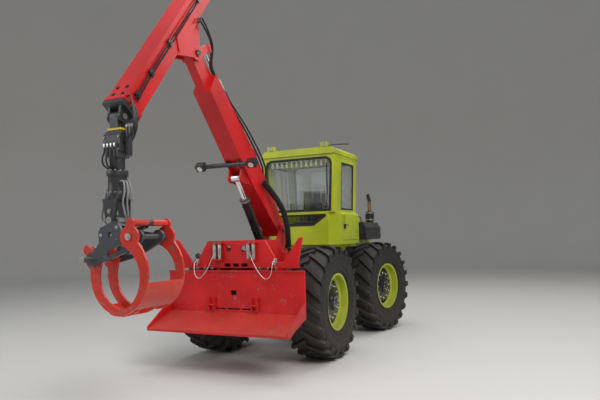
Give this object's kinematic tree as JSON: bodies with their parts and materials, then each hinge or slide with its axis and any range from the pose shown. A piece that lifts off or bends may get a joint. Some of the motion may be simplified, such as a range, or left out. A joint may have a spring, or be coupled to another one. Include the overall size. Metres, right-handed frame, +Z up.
{
  "type": "forestry crane skidder",
  "caption": "Rigid-frame forestry tractor with a rear timber crane and grapple, a twin rope winch frame and a lifting rear blade.",
  "frame": {"origin": "middle of the floor under the whole machine as it stands", "axes": "+X forward, +Y to the left, +Z up"},
  "size_m": [8.4774, 2.8274, 5.6763],
  "materials": {
    "lime_paint": "glossy lime paint, dusty low down",
    "red_paint": "glossy orange-red paint with worn edges",
    "jaw_paint": "orange-red paint, scuffed by timber",
    "dark_paint": "black-grey paint with oil and dust",
    "grapple_grey": "dark grey paint, scuffed",
    "engine_block": "rough casting",
    "black_plastic": "matte moulded plastic",
    "hot_black": "heat-proof black",
    "glass": "clear safety glass with a light green tint",
    "seat_cloth": "woven black cloth",
    "roller_steel": "steel polished by ropes",
    "cylinder_black": "black enamel",
    "chrome_rod": "bright chrome",
    "rope_steel": "bright wire rope",
    "hose_rubber": "black hose with spiral guard",
    "rim_paint": "lime paint, dusty",
    "tyre": "black rubber with grey-brown dust"
  },
  "bodies": {
    "root": {"frame": "dark_paint", "tow_jaw": "dark_paint", "rear_axle": "dark_paint", "front_axle": "dark_paint", "engine": "engine_block", "hood": "lime_paint", "grille": "black_plastic", "side_boxes": "black_plastic", "silencer": "hot_black", "cab_base": "lime_paint", "cab_rear_wall": "lime_paint", "cab_front_wall": "lime_paint", "cab_side_left": "lime_paint", "cab_side_right": "lime_paint", "cab_roof": "lime_paint", "cab_glass": "glass", "console": "black_plastic", "steps": "dark_paint", "winch_tower": "red_paint", "winch": "roller_steel", "blade_barrels": "cylinder_black", "crane_base": "red_paint", "rope_left": "rope_steel", "rope_right": "rope_steel"},
    "seat": {"seat": "seat_cloth"},
    "door_left": {"door_left": "lime_paint", "door_glass_left": "glass"},
    "door_right": {"door_right": "lime_paint", "door_glass_right": "glass"},
    "blade": {"rear_blade": "red_paint", "blade_rods": "chrome_rod"},
    "column": {"crane_column": "red_paint"},
    "boom": {"boom": "red_paint", "lamp_bar": "cylinder_black", "hose_bundle": "hose_rubber"},
    "lift_barrel": {"lift_barrel": "cylinder_black"},
    "lift_rod": {"lift_rod": "chrome_rod"},
    "stick": {"stick": "red_paint"},
    "stick_barrel": {"stick_barrel": "cylinder_black"},
    "stick_rod": {"stick_rod": "chrome_rod"},
    "extension": {"extension": "dark_paint"},
    "hanger": {"hanger": "dark_paint"},
    "rotator": {"rotator": "dark_paint"},
    "grapple_head": {"grapple_head": "grapple_grey"},
    "jaw_right": {"jaw_right": "jaw_paint"},
    "jaw_left": {"jaw_left": "jaw_paint"},
    "jaw_barrel": {"jaw_barrel": "cylinder_black"},
    "jaw_rod": {"jaw_rod": "chrome_rod"},
    "knuckle_left": {"knuckle_left": "dark_paint"},
    "knuckle_right": {"knuckle_right": "dark_paint"},
    "tie_rod": {"tie_rod": "roller_steel"},
    "wheel_rear_left": {"rim_rear_left": "rim_paint", "tyre_rear_left": "tyre"},
    "wheel_rear_right": {"rim_rear_right": "rim_paint", "tyre_rear_right": "tyre"},
    "wheel_front_left": {"rim_front_left": "rim_paint", "tyre_front_left": "tyre"},
    "wheel_front_right": {"rim_front_right": "rim_paint", "tyre_front_right": "tyre"}
  },
  "joints": [
    {"name": "seat_turn", "type": "hinge", "parent": "root", "child": "seat", "pos_m": [1.34, 0, 1.85], "axis": [0, 0, 1], "range_deg": [0, 180]},
    {"name": "door_left", "type": "hinge", "parent": "root", "child": "door_left", "pos_m": [2.033, 0.774, 2], "axis": [0, 0, -1], "range_deg": [0, 75]},
    {"name": "door_right", "type": "hinge", "parent": "root", "child": "door_right", "pos_m": [2.033, -0.774, 2], "axis": [0, 0, 1], "range_deg": [0, 75]},
    {"name": "wheel_rear_left_spin", "type": "hinge", "parent": "root", "child": "wheel_rear_left", "pos_m": [-0.33, 0.965, 0.9], "axis": [0, 1, 0], "continuous": true},
    {"name": "wheel_rear_right_spin", "type": "hinge", "parent": "root", "child": "wheel_rear_right", "pos_m": [-0.33, -0.965, 0.9], "axis": [0, 1, 0], "continuous": true},
    {"name": "steer", "type": "hinge", "parent": "root", "child": "knuckle_left", "pos_m": [2.62, 0.62, 0.9], "axis": [0, 0, 1], "range_deg": [-14, 36]},
    {"name": "steer_right", "type": "hinge", "parent": "root", "child": "knuckle_right", "pos_m": [2.62, -0.62, 0.9], "axis": [0, 0, 1], "range_deg": [-14.5, 36.5]},
    {"name": "tie_rod_slide", "type": "slide", "parent": "root", "child": "tie_rod", "axis": [0, 1, 0], "range_m": [-0.1182, 0.0478]},
    {"name": "wheel_front_left_spin", "type": "hinge", "parent": "knuckle_left", "child": "wheel_front_left", "pos_m": [2.62, 0.62, 0.9], "axis": [0.1908, 0.9816, 0], "continuous": true},
    {"name": "wheel_front_right_spin", "type": "hinge", "parent": "knuckle_right", "child": "wheel_front_right", "pos_m": [2.62, -0.62, 0.9], "axis": [0.1908, 0.9816, 0], "continuous": true},
    {"name": "blade_lift", "type": "slide", "parent": "root", "child": "blade", "axis": [0, 0, 1], "range_m": [-0.5, 0.04]},
    {"name": "slew", "type": "hinge", "parent": "root", "child": "column", "pos_m": [-0.27, 0, 1.64], "axis": [0, 0, 1], "range_deg": [-100, 100]},
    {"name": "boom_lift", "type": "hinge", "parent": "column", "child": "boom", "pos_m": [-0.15, 0, 2.08], "axis": [0, 1, 0], "range_deg": [-22, 29]},
    {"name": "lift_barrel_swing", "type": "hinge", "parent": "column", "child": "lift_barrel", "pos_m": [-0.56, 0, 1.788], "axis": [0, 1, 0], "range_deg": [-22.06, 28.92]},
    {"name": "lift_rod_slide", "type": "slide", "parent": "lift_barrel", "child": "lift_rod", "axis": [-0.5897, 0, 0.8076], "range_m": [-0.1913, 0.2513]},
    {"name": "stick_swing", "type": "hinge", "parent": "boom", "child": "stick", "pos_m": [-2.50489, 0, 4.51856], "axis": [0, 1, 0], "range_deg": [-20, 45]},
    {"name": "stick_barrel_swing", "type": "hinge", "parent": "boom", "child": "stick_barrel", "pos_m": [-0.94145, 0, 3.33144], "axis": [0, 1, 0], "range_deg": [-4.33, 2.2]},
    {"name": "stick_rod_slide", "type": "slide", "parent": "stick_barrel", "child": "stick_rod", "axis": [-0.6868, 0, 0.7268], "range_m": [-0.2221, 0.1004]},
    {"name": "telescope", "type": "slide", "parent": "stick", "child": "extension", "axis": [-0.6018, 0, -0.7986], "range_m": [0, 1.2]},
    {"name": "hanger_swing", "type": "hinge", "parent": "extension", "child": "hanger", "pos_m": [-3.9231, 0, 3.37098], "axis": [0, -1, 0], "range_deg": [-50, 50]},
    {"name": "rotator_turn", "type": "hinge", "parent": "hanger", "child": "rotator", "pos_m": [-3.9231, 0, 2.75098], "axis": [0, 0, 1], "continuous": true},
    {"name": "head_tilt", "type": "hinge", "parent": "rotator", "child": "grapple_head", "pos_m": [-3.9231, 0, 2.19098], "axis": [1, 0, 0], "range_deg": [-20, 60]},
    {"name": "jaw_open", "type": "hinge", "parent": "grapple_head", "child": "jaw_right", "pos_m": [-3.9231, -0.44176, 2.00059], "axis": [-1, 0, 0], "range_deg": [0, 55]},
    {"name": "jaw_left_open", "type": "hinge", "parent": "grapple_head", "child": "jaw_left", "pos_m": [-3.9231, 0.21603, 1.76117], "axis": [1, 0, 0], "range_deg": [-0.5, 55.5]},
    {"name": "jaw_barrel_swing", "type": "hinge", "parent": "jaw_right", "child": "jaw_barrel", "pos_m": [-3.9231, -0.45483, 2.15002], "axis": [1, 0, 0], "range_deg": [-0.5, 55.5]},
    {"name": "jaw_rod_slide", "type": "slide", "parent": "jaw_barrel", "child": "jaw_rod", "axis": [0, 0.9397, -0.342], "range_m": [-0.2816, 0.003]}
  ],
  "couplings": [
    {"joint": "steer_right", "follows": "steer", "ratio": 1},
    {"joint": "tie_rod_slide", "follows": "steer", "m_per_rad": -0.18335},
    {"joint": "lift_barrel_swing", "follows": "boom_lift", "ratio": 0.98},
    {"joint": "lift_rod_slide", "follows": "boom_lift", "m_per_rad": 0.4905},
    {"joint": "stick_barrel_swing", "follows": "stick_swing", "ratio": -0.085},
    {"joint": "stick_rod_slide", "follows": "stick_swing", "m_per_rad": -0.279},
    {"joint": "jaw_left_open", "follows": "jaw_open", "ratio": 1},
    {"joint": "jaw_barrel_swing", "follows": "jaw_open", "ratio": 1},
    {"joint": "jaw_rod_slide", "follows": "jaw_open", "m_per_rad": -0.29025}
  ]
}
